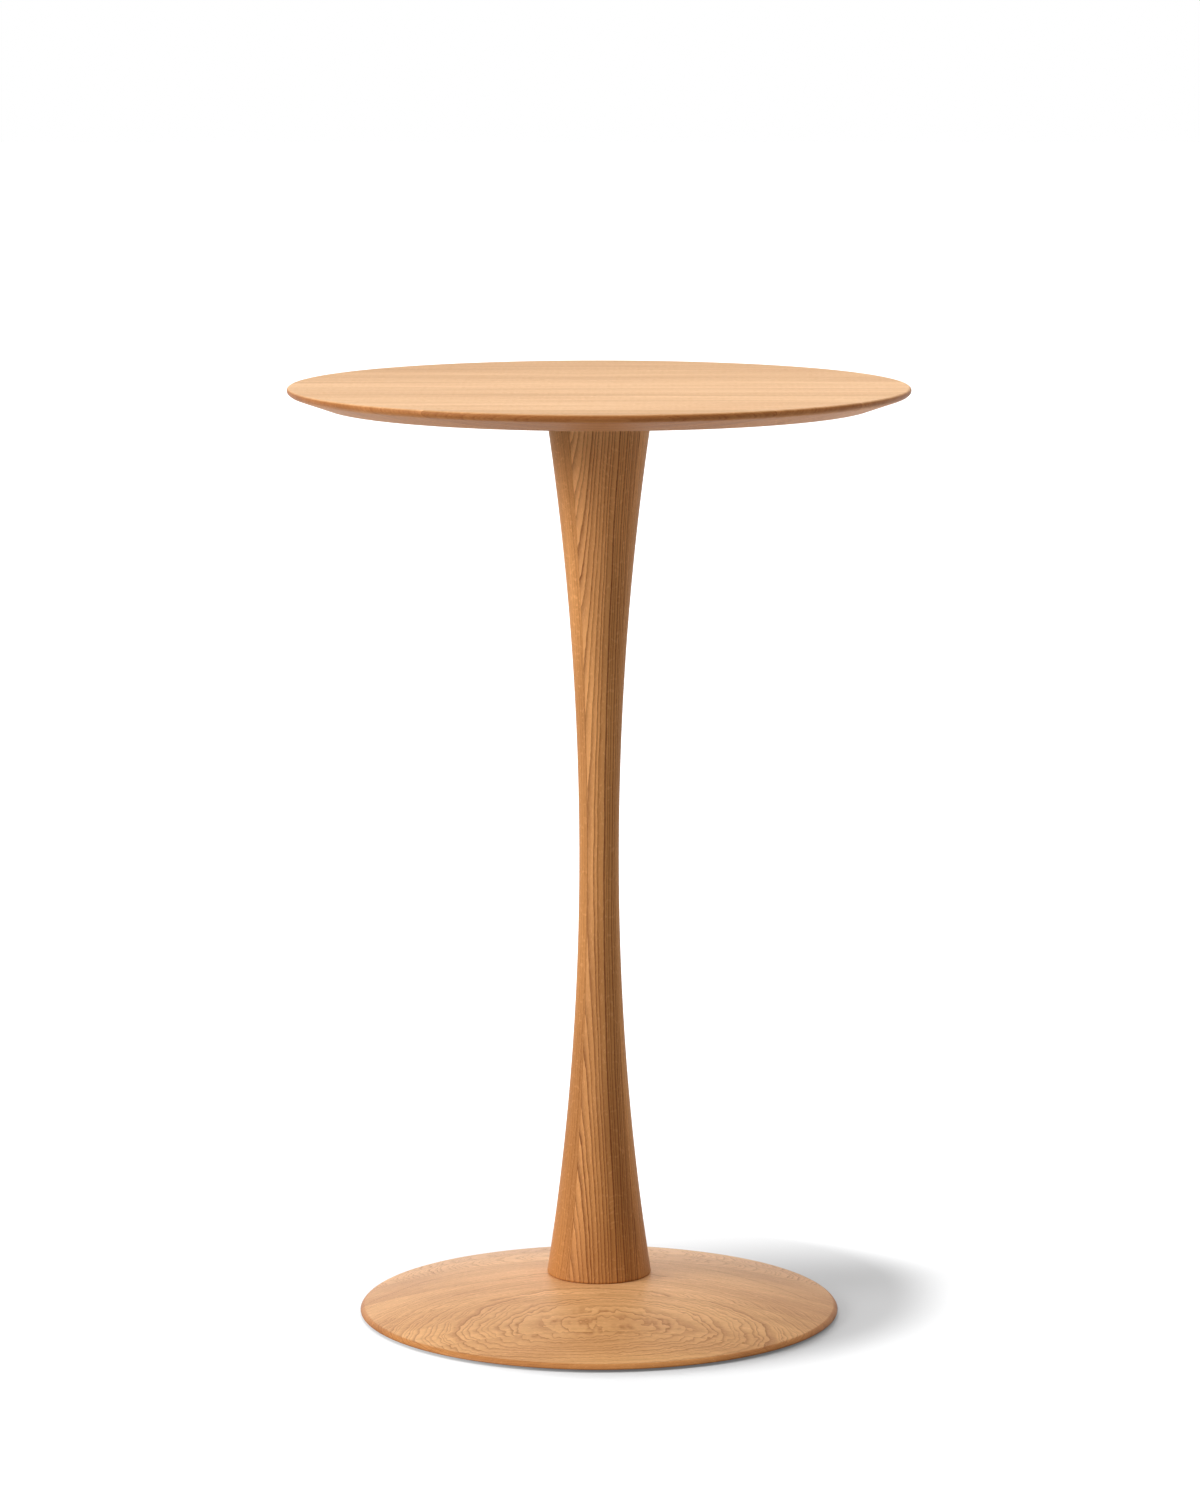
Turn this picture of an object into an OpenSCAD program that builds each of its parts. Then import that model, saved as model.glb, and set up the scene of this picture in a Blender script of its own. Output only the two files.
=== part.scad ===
// Round bar table: a board top with an undercut rim, a turned hourglass column and a shallow
// domed foot, drawn together by one tie rod. Millimetres, +Z up, the boards run along X.
// The origin is on the floor, on the column's axis.

/* [Whole table] */
// Height of the top face above the floor
table_h = 1050; // [800:5:1150]
// Diameter of the top
top_d = 690; // [600:5:800]
// Diameter of the foot
base_d = 541; // [500:1:640]

/* [Top] */
// Thickness of the top
top_t = 21; // [20:0.5:32]
// Radius of the upper arris
top_arris_r = 4; // [1:0.5:6]
// Height of the upright band between the two rounded edges
top_band_h = 0.5; // [0.5:0.5:6]
// Radius of the nose that leads into the undercut
top_nose_r = 6; // [2:0.5:8]
// Angle of the undercut, up from level
top_bevel_a = 17; // [14:1:35]
// Joint lines between the boards, from front to back, as shares of the top's radius
top_joints = [-0.84, -0.58, -0.35, -0.09, 0.16, 0.35, 0.55, 0.78]; // [-0.95:0.01:0.95]

/* [Column] */
// Diameter at the waist
col_waist_d = 44.6; // [40:0.2:80]
// Height of the waist above the floor
col_waist_z = 522; // [400:2:620]
// Diameter at the upper end
col_top_d = 119; // [100:1:160]
// Diameter at the lower end
col_foot_d = 118; // [90:1:180]
// Radius of the arris at the lower end
col_foot_r = 2.5; // [0.5:0.5:5]
// Radius of the arris at the upper end
col_head_r = 1; // [0.5:0.5:4]
// Turn of the four staves about the axis
col_turn = -36; // [-45:1:45]

/* [Foot] */
// Height of the flat seat under the column
base_h = 44.5; // [42:0.5:70]
// Height at which the dome would meet the rim, before its arris is rounded
base_edge_h = 7.4; // [7:0.2:14]
// Radius of the rim's upper arris
base_arris_r = 2; // [1:0.2:4]
// Radius of the rim's lower arris
base_under_r = 1; // [0.5:0.1:2]
// Gap between the wood and the floor
floor_gap = 3; // [2:0.1:3.6]
// Joint lines between the boards, from front to back, as shares of the foot's radius
base_joints = [-0.725, -0.34, -0.067, 0.23, 0.445, 0.76]; // [-0.95:0.005:0.95]
// Diameter of the pocket for the nut and its washers
nut_pocket_d = 84; // [78:1:88]
// Depth of that pocket, up from the underside of the foot
nut_pocket_h = 21; // [20:0.5:23]

/* [Ballast] */
// Diameter of the ballast plate
ballast_d = 380; // [320:2:384]
// Thickness of the ballast plate
ballast_t = 10; // [8:0.5:12]
// Diameter of the hole in its middle
ballast_hole_d = 90; // [88:1:140]
// Number of wood screws
ballast_screws_n = 6; // [4:1:8]
// Diameter of the circle the wood screws stand on
ballast_screw_pcd = 240; // [200:2:280]
// Diameter of a wood screw
wood_screw_d = 5; // [4:0.5:6]
// Diameter of its head
wood_screw_head_d = 10; // [9:0.5:11]
// Length of a wood screw
wood_screw_l = 25; // [20:1:28]

/* [Plate under the top] */
// Diameter of the plate
plate_d = 260; // [250:2:320]
// Thickness of the plate
plate_t = 5; // [4:0.5:8]
// Diameter of the threaded hub under the plate
hub_d = 36; // [30:1:40]
// Length of the hub
hub_h = 25; // [18:1:40]
// Width of the weld around the hub
hub_weld = 3; // [1:0.5:4]
// Number of screws into the top
top_screws_n = 8; // [4:1:10]
// Diameter of the circle the screws stand on
top_screw_pcd = 210; // [190:2:220]
// Diameter of a screw
screw_d = 6; // [5:0.5:6]
// Length of a screw below its head
screw_l = 18; // [16:1:20]
// Diameter of a screw's head
screw_head_d = 11; // [10:0.5:13]
// Height of a screw's head
screw_head_h = 3.6; // [3:0.2:4.5]
// Diameter of a washer
washer_d = 16; // [14:0.5:18]
// Thickness of a washer
washer_t = 1.6; // [1:0.2:2]
// Extra length of each slot, across the boards
slot_run = 5; // [1:0.5:6]
// Diameter of an insert in the top
insert_d = 10; // [9:0.5:12]
// Length of an insert in the top
insert_l = 14; // [12:0.5:15]

/* [Tie rod] */
// Diameter of the rod
rod_d = 12; // [10:1:14]
// Length of thread that stands out below the nut
rod_end_l = 2; // [1:0.5:2.5]
// Diameter of the clamp washer
clamp_d = 70; // [50:1:74]
// Thickness of the clamp washer
clamp_t = 5; // [3:0.5:5.5]
// Diameter of the spring washer
spring_d = 21; // [20:0.5:23]
// Thickness of the spring washer
spring_t = 2.5; // [2:0.1:3]
// Size of the nut across its flats
nut_af = 19; // [18:1:22]
// Height of the nut
nut_h = 10; // [8:0.5:10]

/* [Pins] */
// Diameter of the pins and dowels
pin_d = 8; // [6:1:10]
// Distance of each pin from the axis
pin_r = 38; // [32:0.5:42]
// Depth of the pins in the column
pin_col_l = 22; // [12:1:30]
// Depth of the dowels in the foot
pin_base_l = 14; // [8:1:15]

/* [Levelling feet] */
// Diameter of the circle the levelling feet stand on
foot_pcd = 424; // [418:1:440]
// Diameter of a pad
pad_d = 30; // [24:1:32]
// Thickness of a pad
pad_t = 4; // [3.5:0.1:4.2]
// Diameter of a stem's thread
stem_d = 8; // [6:1:8]
// Size of a stem's hexagon flange across its flats
stem_af = 13; // [11:1:15]
// Thickness of the flange
stem_flange_t = 3; // [2:0.2:3.2]
// Diameter of the spigot that turns in the pad
spigot_d = 6; // [4:0.5:7]
// Depth of the spigot in the pad
spigot_l = 2.6; // [1.5:0.1:2.6]
// Diameter of an insert for a stem
foot_insert_d = 12; // [11:0.5:13]
// Length of that insert
foot_insert_l = 10; // [8:0.5:10]

/* [Clearances] */
// Between the rod and its bore, on the radius
rod_clear = 1; // [0.5:0.1:2]
// Between a thread and what it screws into, on the radius
thread_clear = 0.05; // [0.01:0.01:0.1]
// Between a stem and what it turns in, on the radius
run_clear = 0.1; // [0.05:0.01:0.2]
// Between a screw and its clearance hole, on the radius
screw_clear = 0.5; // [0.2:0.1:1]
// Between the hub and its pocket, on the radius and at its end
hub_clear = 1; // [0.5:0.1:2]
// Beyond the end of a pin, screw or insert in its hole
end_clear = 0.5; // [0.2:0.1:1]
// Between the ballast plate and its pocket, on the radius
ballast_clear = 1; // [0.5:0.1:2]
// Between a pad and its recess, on the radius
pad_clear = 2; // [1:0.1:2.5]

/* [Hidden] */
BOARD_COLORS = ["#e9c496", "#e2b98a", "#ecc99d", "#dfb383"];
COLUMN_COLORS = ["#c48f57", "#b98149", "#cf9c63", "#bd8850"];
BLACK_STEEL = "#2b2c2e";
ZINC = "#b9bcc0";
BRASS = "#c5a35c";
DOWEL = "#d8b282";
NYLON = "#35353a";

FEET = ["front_left", "front_right", "back_left", "back_right"];
STAVES = ["front", "right", "back", "left"];

$fn = 96;
DISC_FN = 288;
PAST = 1;
ARC_STEPS = 6;
DOME_STEPS = 18;
COLUMN_STEPS = 18;
CHAMFER = 0.8;
PAST_RIM = 1.1;
HEAD_ROUND = 1.6;
HEAD_RIM = 0.2;
SOCKET_DEPTH = 2.2;
SOCKET_SHARE = 2 / 3;
FLANGE_ROOM = 0.4;

top_r = top_d / 2;
base_r = base_d / 2;
top_under = table_h - top_t;
plate_under = top_under - plate_t;
rod_bore_r = rod_d / 2 + rod_clear;
hub_bore_r = rod_d / 2 + thread_clear;
hub_pocket_r = hub_d / 2 + hub_weld + hub_clear;
hub_pocket_z = plate_under - hub_h - hub_clear;

nut_pocket_z = floor_gap + nut_pocket_h;
clamp_z = nut_pocket_z - clamp_t;
spring_z = clamp_z - spring_t;
nut_z = spring_z - nut_h;
rod_low = nut_z - rod_end_l;
ballast_top = floor_gap + ballast_t;

washer_z = plate_under - washer_t;
screw_r = screw_d / 2;
insert_hole_top = top_under + insert_l + end_clear;

foot_xy = foot_pcd / 2 * cos(45);
flange_z = pad_t + run_clear;
recess_top = flange_z + stem_flange_t + FLANGE_ROOM;
foot_insert_top = recess_top + foot_insert_l;
recess_r = pad_d / 2 + pad_clear;

// Points of an arc about [x, y], from angle a to angle b
function arc(x, y, r, a, b, steps) =
    [for (i = [0:steps]) let (t = a + (b - a) * i / steps) [x + r * cos(t), y + r * sin(t)]];

// Radius of a hollow of round section that is upright at the waist and reaches end_r at height end_z
function hollow(z, end_r, end_z) =
    let (
        w = col_waist_d / 2,
        rise = end_z - col_waist_z,
        curve = (pow(end_r - w, 2) + rise * rise) / (2 * (end_r - w))
    )
    w + curve - sqrt(curve * curve - pow(z - col_waist_z, 2));

// Edges of the boards across a disc of the given radius, past the rim at both ends
function board_edges(joints, r) = [for (s = concat([-PAST_RIM], joints, [PAST_RIM])) s * r];

// Places on a circle, the first one turned by half a step where half is 1
function ring(pcd, n, half) =
    [for (i = [0:n - 1]) let (t = 360 / n * (i + half / 2)) [pcd / 2 * cos(t), pcd / 2 * sin(t)]];

top_screws = ring(top_screw_pcd, top_screws_n, 1);
ballast_places = ring(ballast_screw_pcd, ballast_screws_n, 0);
foot_places = [[-foot_xy, -foot_xy], [foot_xy, -foot_xy], [-foot_xy, foot_xy], [foot_xy, foot_xy]];
pin_places = [for (k = [0, 2]) let (t = col_turn - 45 + 90 * k) [pin_r * cos(t), pin_r * sin(t)]];

// A pin, bore or screw shank between two heights
module rod(r, low, high) {
    translate([0, 0, low]) cylinder(r = r, h = high - low);
}

// A turned pin with a chamfer at both ends
module chamfered(r, low, high, c = CHAMFER) {
    rotate_extrude()
        polygon([[0, low], [r - c, low], [r, low + c], [r, high - c], [r - c, high], [0, high]]);
}

// Hexagon prism whose corners are turned off at its lower end, and at its upper end too if both
module hexagon(af, low, high, both = false) {
    r = af / 2 / cos(30);
    c = r - af / 2;
    drop = c * tan(30);
    intersection() {
        translate([0, 0, low]) cylinder(r = r, h = high - low, $fn = 6);
        rotate_extrude()
            polygon([
                [0, low], [af / 2, low], [r, low + drop],
                [r, both ? high - drop : high], [both ? af / 2 : r, high], [0, high]
            ]);
    }
}

// The slab that one board takes out of a turned disc
module board_slab(edges, i, r, low, high) {
    translate([-r - PAST, edges[i - 1], low - PAST])
        cube([2 * (r + PAST), edges[i] - edges[i - 1], high - low + 2 * PAST]);
}

// The whole top as the lathe leaves it
module top_disc() {
    band_z = table_h - top_arris_r - top_band_h;
    nose = arc(top_r - top_nose_r, band_z, top_nose_r, top_bevel_a - 90, 0, ARC_STEPS);
    run = (nose[0].y - top_under) / tan(top_bevel_a);
    arris = arc(top_r - top_arris_r, table_h - top_arris_r, top_arris_r, 0, 90, ARC_STEPS);
    rotate_extrude($fn = DISC_FN)
        polygon(concat([[0, top_under], [nose[0].x - run, top_under]], nose, arris, [[0, table_h]]));
}

module top_board(i) {
    edges = board_edges(top_joints, top_r);
    hole_r = insert_d / 2;
    color(BOARD_COLORS[i % 4]) difference() {
        intersection() {
            top_disc();
            board_slab(edges, i, top_r, top_under, table_h);
        }
        for (p = top_screws)
            if (p.y + hole_r > edges[i - 1] && p.y - hole_r < edges[i])
                translate([p.x, p.y, 0]) rod(hole_r, top_under - PAST, insert_hole_top);
    }
}

module column_stave(k) {
    foot_z = base_h + col_foot_r;
    head_z = plate_under - col_head_r;
    foot_x = hollow(foot_z, col_foot_d / 2, base_h) - col_foot_r;
    head_x = hollow(head_z, col_top_d / 2, plate_under) - col_head_r;
    low_side = [
        for (i = [1:COLUMN_STEPS])
            let (z = foot_z + (col_waist_z - foot_z) * i / COLUMN_STEPS)
            [hollow(z, col_foot_d / 2, base_h), z]
    ];
    high_side = [
        for (i = [1:COLUMN_STEPS - 1])
            let (z = col_waist_z + (head_z - col_waist_z) * i / COLUMN_STEPS)
            [hollow(z, col_top_d / 2, plate_under), z]
    ];
    color(COLUMN_COLORS[k]) difference() {
        rotate([0, 0, col_turn - 90 + 90 * k])
            rotate_extrude(angle = 90, start = 0)
                polygon(concat(
                    [[rod_bore_r, base_h]],
                    arc(foot_x, foot_z, col_foot_r, -90, 0, ARC_STEPS),
                    low_side,
                    high_side,
                    arc(head_x, head_z, col_head_r, 0, 90, 2),
                    [
                        [hub_pocket_r, plate_under], [hub_pocket_r, hub_pocket_z],
                        [rod_bore_r, hub_pocket_z]
                    ]
                ));
        for (p = pin_places) translate([p.x, p.y, 0]) {
            rod(pin_d / 2 + thread_clear, base_h - PAST, base_h + pin_col_l + end_clear);
            rod(pin_d / 2 + thread_clear, plate_under - pin_col_l - end_clear, plate_under + PAST);
        }
    }
}

// The whole foot as the lathe leaves it, with the pockets under it
module base_disc() {
    seat_r = col_foot_d / 2;
    rise = base_h - base_edge_h;
    centre_z = (base_h + base_edge_h) / 2 - (base_r * base_r - seat_r * seat_r) / (2 * rise);
    dome_r = sqrt(seat_r * seat_r + pow(base_h - centre_z, 2));
    arris_x = base_r - base_arris_r;
    arris_z = centre_z + sqrt(pow(dome_r - base_arris_r, 2) - arris_x * arris_x);
    arris_a = atan2(arris_z - centre_z, arris_x);
    dome = arc(0, centre_z, dome_r, arris_a, acos(seat_r / dome_r), DOME_STEPS);
    pocket_r = ballast_d / 2 + ballast_clear;
    rotate_extrude($fn = DISC_FN)
        polygon(concat(
            [
                [rod_bore_r, nut_pocket_z], [nut_pocket_d / 2, nut_pocket_z],
                [nut_pocket_d / 2, ballast_top], [pocket_r, ballast_top], [pocket_r, floor_gap]
            ],
            arc(base_r - base_under_r, floor_gap + base_under_r, base_under_r, -90, 0, 3),
            arc(arris_x, arris_z, base_arris_r, 0, arris_a, ARC_STEPS),
            [for (i = [1:DOME_STEPS]) dome[i]],
            [[rod_bore_r, base_h]]
        ));
}

module base_board(i) {
    edges = board_edges(base_joints, base_r);
    color(BOARD_COLORS[(i + 1) % 4]) difference() {
        intersection() {
            base_disc();
            board_slab(edges, i, base_r, 0, base_h);
        }
        for (p = foot_places)
            if (p.y + recess_r > edges[i - 1] && p.y - recess_r < edges[i])
                translate([p.x, p.y, 0]) {
                    rod(recess_r, floor_gap - PAST, recess_top);
                    rod(foot_insert_d / 2, floor_gap, foot_insert_top + end_clear);
                }
        for (p = ballast_places)
            if (p.y + wood_screw_d > edges[i - 1] && p.y - wood_screw_d < edges[i])
                translate([p.x, p.y, 0])
                    rod(wood_screw_d / 2 + thread_clear, floor_gap, floor_gap + wood_screw_l + end_clear);
        for (p = pin_places)
            if (p.y + pin_d > edges[i - 1] && p.y - pin_d < edges[i])
                translate([p.x, p.y, 0])
                    rod(pin_d / 2 + thread_clear, base_h - pin_base_l - end_clear, base_h + PAST);
    }
}

module top_plate() {
    slot_r = screw_r + screw_clear;
    color(BLACK_STEEL) difference() {
        chamfered(plate_d / 2, plate_under, top_under);
        for (p = top_screws) translate([p.x, p.y, 0]) {
            for (side = [-1, 1])
                translate([0, side * slot_run / 2, 0]) rod(slot_r, plate_under - PAST, top_under + PAST);
            translate([-slot_r, -slot_run / 2, plate_under - PAST])
                cube([2 * slot_r, slot_run, plate_t + 2 * PAST]);
        }
        for (p = pin_places) translate([p.x, p.y, 0])
            rod(pin_d / 2 + thread_clear, plate_under - PAST, top_under + PAST);
    }
}

module top_plate_hub() {
    r = hub_d / 2;
    low = plate_under - hub_h;
    color(BLACK_STEEL) rotate_extrude()
        polygon([
            [hub_bore_r + CHAMFER, low], [r - CHAMFER, low], [r, low + CHAMFER],
            [r, plate_under - hub_weld], [r + hub_weld, plate_under],
            [hub_bore_r, plate_under], [hub_bore_r, low + CHAMFER]
        ]);
}

module top_inserts() {
    color(BRASS) for (p = top_screws) translate([p.x, p.y, 0]) difference() {
        rod(insert_d / 2, top_under, top_under + insert_l);
        rod(screw_r + thread_clear, top_under - PAST, top_under + insert_l + PAST);
    }
}

module top_plate_screws() {
    r = screw_head_d / 2;
    low = washer_z - screw_head_h;
    socket_af = screw_d * SOCKET_SHARE;
    color(ZINC) for (p = top_screws) translate([p.x, p.y, 0]) difference() {
        union() {
            rotate_extrude() polygon(concat(
                [[0, low]],
                arc(r - HEAD_ROUND, low + HEAD_ROUND, HEAD_ROUND, -90, 0, ARC_STEPS),
                [[r, washer_z], [0, washer_z]]
            ));
            chamfered(screw_r, washer_z - PAST, washer_z + screw_l);
        }
        translate([0, 0, low - PAST])
            cylinder(d = socket_af / cos(30), h = PAST + SOCKET_DEPTH, $fn = 6);
    }
}

module top_plate_washers() {
    color(ZINC) for (p = top_screws) translate([p.x, p.y, 0]) difference() {
        rod(washer_d / 2, washer_z, plate_under);
        rod(screw_r + screw_clear / 2, washer_z - PAST, plate_under + PAST);
    }
}

module top_pins() {
    color(ZINC) for (p = pin_places)
        translate([p.x, p.y, 0]) chamfered(pin_d / 2, plate_under - pin_col_l, top_under - end_clear);
}

module tie_rod() {
    color(ZINC) chamfered(rod_d / 2, rod_low, plate_under - end_clear);
}

module clamp_washer() {
    color(ZINC) difference() {
        chamfered(clamp_d / 2, clamp_z, nut_pocket_z);
        rod(rod_d / 2 + screw_clear, clamp_z - PAST, nut_pocket_z + PAST);
    }
}

module spring_washer() {
    inner_r = rod_d / 2 + screw_clear / 2;
    color(ZINC) difference() {
        rod(spring_d / 2, spring_z, clamp_z);
        rod(inner_r, spring_z - PAST, clamp_z + PAST);
        translate([0, -spring_t / 4, spring_z - PAST]) cube([spring_d, spring_t / 2, spring_t + 2 * PAST]);
    }
}

module tie_nut() {
    color(ZINC) difference() {
        hexagon(nut_af, nut_z, spring_z, true);
        rod(rod_d / 2 + thread_clear, nut_z - PAST, spring_z + PAST);
    }
}

module foot_dowels() {
    color(DOWEL) for (p = pin_places)
        translate([p.x, p.y, 0]) chamfered(pin_d / 2, base_h - pin_base_l, base_h + pin_col_l);
}

// A countersunk head between floor_gap and the shank, with room around it for the hole in the plate
module countersink(room, low) {
    head_r = wood_screw_head_d / 2 + room;
    shank_r = wood_screw_d / 2 + room;
    rotate_extrude()
        polygon([
            [0, low], [head_r, low], [head_r, floor_gap], [shank_r, floor_gap + head_r - shank_r],
            [0, floor_gap + head_r - shank_r]
        ]);
}

module ballast_plate() {
    color(BLACK_STEEL) difference() {
        chamfered(ballast_d / 2, floor_gap, ballast_top);
        rod(ballast_hole_d / 2, floor_gap - PAST, ballast_top + PAST);
        for (p = ballast_places) translate([p.x, p.y, 0]) {
            rod(wood_screw_d / 2 + screw_clear, floor_gap - PAST, ballast_top + PAST);
            countersink(screw_clear, floor_gap - PAST);
        }
    }
}

module ballast_screws() {
    r = wood_screw_d / 2;
    top = floor_gap + wood_screw_l;
    head_r = wood_screw_head_d / 2;
    neck = floor_gap + head_r - r;
    socket_af = wood_screw_d * SOCKET_SHARE;
    color(ZINC) for (p = ballast_places) translate([p.x, p.y, 0]) difference() {
        rotate_extrude()
            polygon([
                [0, floor_gap], [head_r - HEAD_RIM, floor_gap], [head_r, floor_gap + HEAD_RIM],
                [r, neck + HEAD_RIM], [r, top - wood_screw_d], [0, top]
            ]);
        translate([0, 0, floor_gap - PAST])
            cylinder(d = socket_af / cos(30), h = PAST + SOCKET_DEPTH, $fn = 6);
    }
}

module foot_inserts() {
    color(BRASS) for (p = foot_places) translate([p.x, p.y, 0]) difference() {
        rod(foot_insert_d / 2, recess_top, foot_insert_top);
        rod(stem_d / 2 + run_clear, recess_top - PAST, foot_insert_top + PAST);
    }
}

module leveller_pad(k) {
    r = pad_d / 2;
    edge = pad_t / 3;
    color(NYLON) translate([foot_places[k].x, foot_places[k].y, 0]) difference() {
        rotate_extrude()
            polygon(concat([[0, 0]], arc(r - edge, edge, edge, -90, 0, ARC_STEPS),
                arc(r - edge, pad_t - edge, edge, 0, 90, ARC_STEPS), [[0, pad_t]]));
        rod(spigot_d / 2 + run_clear, pad_t - spigot_l - run_clear, pad_t + PAST);
    }
}

module leveller_stem(k) {
    color(ZINC) translate([foot_places[k].x, foot_places[k].y, 0]) {
        rod(spigot_d / 2, pad_t - spigot_l, flange_z + PAST / 2);
        hexagon(stem_af, flange_z, flange_z + stem_flange_t);
        chamfered(stem_d / 2, flange_z + PAST, foot_insert_top - end_clear);
    }
}

top_board(1);  // top_board_1
top_board(2);  // top_board_2
top_board(3);  // top_board_3
top_board(4);  // top_board_4
top_board(5);  // top_board_5
top_board(6);  // top_board_6
top_board(7);  // top_board_7
top_board(8);  // top_board_8
top_board(9);  // top_board_9
column_stave(0);  // column_stave_front
column_stave(1);  // column_stave_right
column_stave(2);  // column_stave_back
column_stave(3);  // column_stave_left
base_board(1);  // base_board_1
base_board(2);  // base_board_2
base_board(3);  // base_board_3
base_board(4);  // base_board_4
base_board(5);  // base_board_5
base_board(6);  // base_board_6
base_board(7);  // base_board_7
top_plate();
top_plate_hub();
top_inserts();
top_plate_screws();
top_plate_washers();
top_pins();
tie_rod();
clamp_washer();
spring_washer();
tie_nut();
foot_dowels();
ballast_plate();
ballast_screws();
foot_inserts();
leveller_pad(0);  // leveller_pad_front_left
leveller_pad(1);  // leveller_pad_front_right
leveller_pad(2);  // leveller_pad_back_left
leveller_pad(3);  // leveller_pad_back_right
leveller_stem(0);  // leveller_stem_front_left
leveller_stem(1);  // leveller_stem_front_right
leveller_stem(2);  // leveller_stem_back_left
leveller_stem(3);  // leveller_stem_back_right
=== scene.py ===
# %% [markdown]
# # A round bar table in oak
# The table is a board top with an undercut rim, a turned hourglass column and a shallow domed foot.
# The construction model, called the frame here, already holds every piece at its real size. This
# lesson loads it, builds finer meshes for the wood, and gives every surface its finish. The wooden
# pieces could keep the frame's meshes, but a turned piece shows each facet in its outline, and a
# mesh of our own can also carry what the wood's pattern needs to know.

# %% Load the frame
import math

import bmesh
import bpy
import numpy as np
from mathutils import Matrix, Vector


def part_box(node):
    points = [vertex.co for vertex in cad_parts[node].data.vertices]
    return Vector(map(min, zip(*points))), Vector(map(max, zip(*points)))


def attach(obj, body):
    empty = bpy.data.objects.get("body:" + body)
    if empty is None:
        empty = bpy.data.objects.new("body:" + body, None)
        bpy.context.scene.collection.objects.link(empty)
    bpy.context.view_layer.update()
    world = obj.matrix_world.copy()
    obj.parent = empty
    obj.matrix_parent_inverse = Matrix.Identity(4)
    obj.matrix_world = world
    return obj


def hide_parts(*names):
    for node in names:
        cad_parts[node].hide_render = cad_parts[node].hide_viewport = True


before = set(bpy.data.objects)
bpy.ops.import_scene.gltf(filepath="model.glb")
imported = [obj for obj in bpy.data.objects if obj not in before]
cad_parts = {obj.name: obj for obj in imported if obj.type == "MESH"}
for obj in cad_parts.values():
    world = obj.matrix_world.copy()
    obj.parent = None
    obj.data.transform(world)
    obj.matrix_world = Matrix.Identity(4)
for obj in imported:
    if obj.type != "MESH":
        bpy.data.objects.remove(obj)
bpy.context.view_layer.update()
MM = 0.001

# %% [markdown]
# ## Sizes
# A piece that replaces one of the frame's has to sit exactly where that one sits, so heights, radii
# and joint lines are read from the frame instead of being typed in again. Only the curves of
# the outlines, such as the radius of an edge or of the column's waist, are values of their own.

# %% Read the main sizes
def reach(*nodes):
    """Greatest distance from the column's axis to a corner of these nodes."""
    return max(v.co.xy.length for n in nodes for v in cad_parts[n].data.vertices)


def joint_lines(kind, count):
    """The places along Y where one board ends and the next begins."""
    return [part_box(f"{kind}_board_{i}")[1].y for i in range(1, count)]


TABLE_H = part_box("top_board_5")[1].z
TOP_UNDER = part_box("top_plate")[1].z
PLATE_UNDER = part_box("top_plate")[0].z
TOP_R = reach("top_board_4", "top_board_5")
BASE_R = reach("base_board_4")
BASE_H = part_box("base_board_4")[1].z
FLOOR_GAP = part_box("base_board_4")[0].z
TOP_JOINTS = joint_lines("top", 9)
BASE_JOINTS = joint_lines("base", 7)
print("Top radius", round(TOP_R / MM, 2), "mm, foot radius", round(BASE_R / MM, 2), "mm")

# %% [markdown]
# ## Camera
# A long lens from six metres away keeps the two discs nearly flat ellipses, as a studio photograph
# of a tall table does. The camera looks level and slightly down, so no shift is needed.

# %% Set the camera
CAMERA_PLACE = (0.0010, -6.0946, 1.5851)
CAMERA_TILT = 8.789
CAMERA_LENS = 132.52
CAMERA_SENSOR = 36

camera = bpy.data.objects.new("camera", bpy.data.cameras.new("camera"))
camera.data.sensor_width = CAMERA_SENSOR
camera.data.lens = CAMERA_LENS
camera.location = CAMERA_PLACE
camera.rotation_euler = (math.radians(90 - CAMERA_TILT), 0, 0)
bpy.context.scene.collection.objects.link(camera)
bpy.context.scene.camera = camera
bpy.context.scene.view_settings.view_transform = "Standard"
print("Camera", round(-CAMERA_PLACE[1], 2), "m in front, tilted down", CAMERA_TILT, "degrees")

# %% [markdown]
# ## Shader helpers
# Materials, the world and the floor are all made of nodes. Four small functions keep their code
# short: one adds a node and wires it, one does a sum, one separates a vector, and one tells a look
# from light that only lands.

# %% Add and wire nodes
def add(tree, kind, inputs=(), outlet=0, **settings):
    """Add a node, wire or fill its inputs, and return one of its outlets, if it has any."""
    node = tree.nodes.new("ShaderNode" + kind)
    for name, value in settings.items():
        setattr(node, name, value)
    for name, value in dict(inputs).items():
        if isinstance(value, bpy.types.NodeSocket):
            tree.links.new(value, node.inputs[name])
        else:
            node.inputs[name].default_value = value
    return node.outputs[outlet] if node.outputs else None


def maths(tree, operation, *values):
    """One sum of up to three numbers."""
    return add(tree, "Math", enumerate(values), operation=operation)


def parts(tree, vector):
    """The three numbers of a vector."""
    return list(add(tree, "SeparateXYZ", {0: vector}).node.outputs)


def seen(tree):
    """1 where the eye looks, straight or by way of gloss or glass, and 0 where light only lands."""
    eye = add(tree, "LightPath", outlet="Is Camera Ray")
    for kind in ("Is Glossy Ray", "Is Transmission Ray"):
        eye = maths(tree, "MAXIMUM", eye, add(tree, "LightPath", outlet=kind))
    return eye


# %% [markdown]
# ## Studio
# The background is plain white, but light from white on all sides would wash the round shapes out.
# So the world is white only where the eye or a reflection looks, and lights the wood as a ceiling
# does: strong from above, weak from the sides. Two distant lamps do the modelling. The key is large
# and low at the left, and shades the column from left to right. The overhead one brightens the top
# and throws its shade on the column. Two more light the floor alone. The soft box draws the top's
# shadow on it, and the backdrop lamp shines from behind and is stopped by the foot only, which
# leaves a narrow dark edge in front of it. The last one is a faint window behind the table, whose
# gloss lies on the foot's back and left.

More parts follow.
